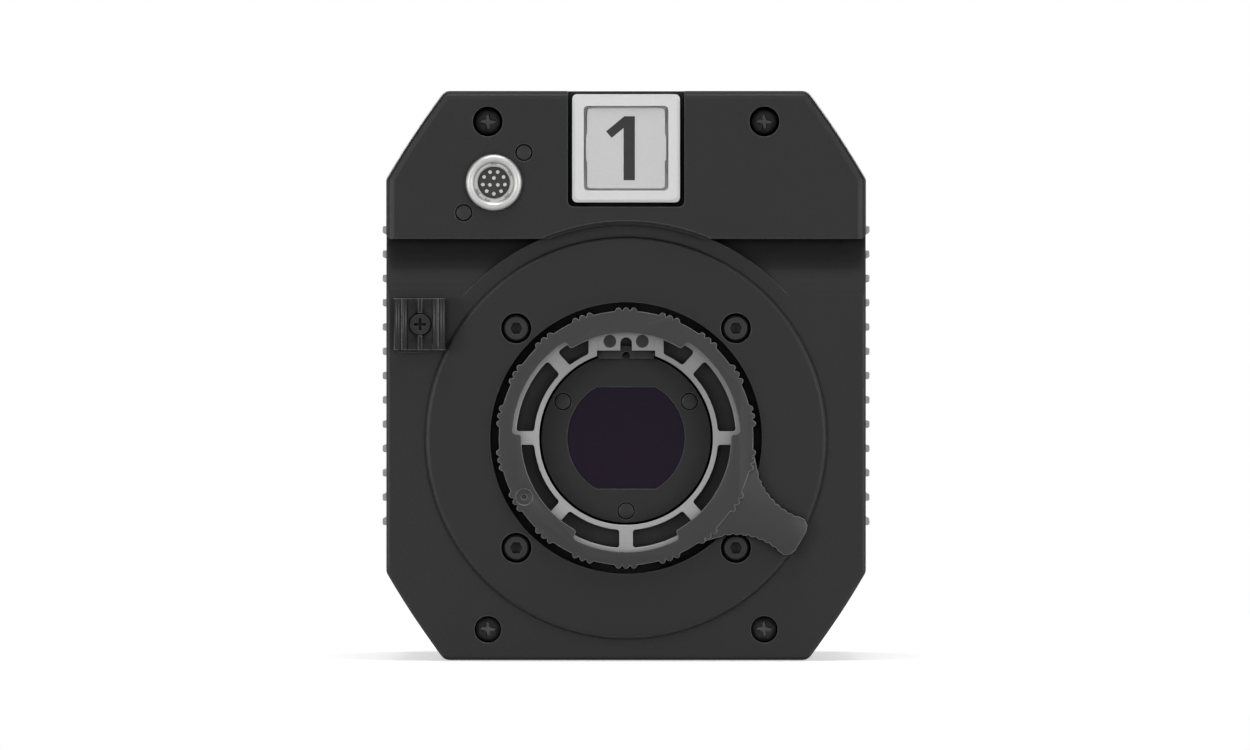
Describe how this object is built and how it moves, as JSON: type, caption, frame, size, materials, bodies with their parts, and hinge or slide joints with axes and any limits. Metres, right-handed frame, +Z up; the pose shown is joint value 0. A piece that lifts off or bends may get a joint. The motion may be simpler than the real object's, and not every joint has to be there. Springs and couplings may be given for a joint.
{
  "type": "box camera",
  "caption": "Boxy studio camera body with bayonet lens mount and lock lever, tally window with number plate, lens connector, cable clamp, side cooling fins and rear connector panel.",
  "frame": {"origin": "mouth of the quarter inch tripod thread in the base", "axes": "+Z up, the lens mount faces -Y and the connector panel faces +Y, +X to the right seen from the front"},
  "size_m": [0.104, 0.1939, 0.121],
  "materials": {
    "case_black": "fine matt black paint on cast aluminium",
    "mount_black": "matt black anodised aluminium",
    "ring_grey": "dark grey anodised aluminium",
    "bare_aluminium": "bare extruded aluminium",
    "black_steel": "blackened steel",
    "spring_steel": "spring steel",
    "satin_metal": "satin stainless steel",
    "bright_metal": "satin nickel plate",
    "nickel": "nickel plate",
    "gold_contact": "gold plated contacts",
    "filter_glass": "coated dark filter glass",
    "board": "green circuit board",
    "moulded_black": "matt black moulding",
    "rubber_grey": "dark grey silicone rubber",
    "lamp_white": "milky translucent moulding",
    "plate_white": "light grey sheet",
    "digit_grey": "dark grey print",
    "core_white": "white insulator",
    "lamp_green": "green lamp lens"
  },
  "bodies": {
    "camera": {"front_panel": "case_black", "top_cover": "case_black", "base_plate": "case_black", "left_cover": "case_black", "right_cover": "case_black", "rear_panel": "case_black", "frame_rails": "bare_aluminium", "left_heat_sink": "bare_aluminium", "right_heat_sink": "bare_aluminium", "panel_screws": "black_steel", "rear_screws": "black_steel", "cover_screws": "black_steel", "mount_plate": "mount_black", "mount_screws": "black_steel", "ring_retainer": "spring_steel", "flange_ring": "satin_metal", "index_block": "satin_metal", "index_pins": "black_steel", "filter_holder": "mount_black", "filter_screws": "black_steel", "optical_filter": "filter_glass", "sensor_frame": "bare_aluminium", "sensor_chip": "filter_glass", "sensor_board": "board", "connector_shell": "bright_metal", "connector_insert": "moulded_black", "connector_pins": "gold_contact", "connector_screws": "black_steel", "tally_frame": "lamp_white", "tally_board": "board", "cable_clamp": "moulded_black", "clamp_screw": "black_steel", "main_board": "board", "video_board": "board", "power_board": "board", "fan_frame": "moulded_black", "coaxial_jacks": "nickel", "coaxial_cores": "core_white", "power_inlet": "moulded_black", "inlet_pins": "gold_contact", "remote_socket": "nickel", "remote_insert": "moulded_black", "network_jack": "nickel", "rocker_bezel": "moulded_black", "toggle_bush": "nickel", "dial_bush": "nickel", "status_lamp": "lamp_green"},
    "lock_ring": {"lock_ring": "ring_grey"},
    "number_plate": {"number_plate": "plate_white", "number_digit": "digit_grey"},
    "fan": {"fan_rotor": "moulded_black"},
    "power_switch": {"power_rocker": "moulded_black"},
    "balance_switch": {"balance_toggle": "nickel"},
    "menu_dial": {"menu_dial": "moulded_black"},
    "upper_button": {"upper_button": "rubber_grey"},
    "lower_button": {"lower_button": "rubber_grey"}
  },
  "joints": [
    {"name": "lock_turn", "type": "hinge", "parent": "camera", "child": "lock_ring", "pos_m": [0, -0.086, 0.0472], "axis": [0, -1, 0], "range_deg": [0, 60]},
    {"name": "plate_lift", "type": "slide", "parent": "camera", "child": "number_plate", "axis": [0, -1, 0], "range_m": [0, 0.008]},
    {"name": "fan_spin", "type": "hinge", "parent": "camera", "child": "fan", "pos_m": [0, 0.077, 0.09], "axis": [0, 1, 0], "continuous": true},
    {"name": "power_tilt", "type": "hinge", "parent": "camera", "child": "power_switch", "pos_m": [-0.0295, 0.0865, 0.099], "axis": [-1, 0, 0], "range_deg": [0, 16]},
    {"name": "balance_tilt", "type": "hinge", "parent": "camera", "child": "balance_switch", "pos_m": [0.0295, 0.087, 0.082], "axis": [1, 0, 0], "range_deg": [-15, 15], "stiffness_Nm_per_rad": 0.02},
    {"name": "dial_turn", "type": "hinge", "parent": "camera", "child": "menu_dial", "pos_m": [0.0295, 0.092, 0.099], "axis": [0, 1, 0], "continuous": true},
    {"name": "upper_press", "type": "slide", "parent": "camera", "child": "upper_button", "axis": [0, -1, 0], "range_m": [0, 0.001], "stiffness_N_per_m": 200},
    {"name": "lower_press", "type": "slide", "parent": "camera", "child": "lower_button", "axis": [0, -1, 0], "range_m": [0, 0.001], "stiffness_N_per_m": 200}
  ]
}
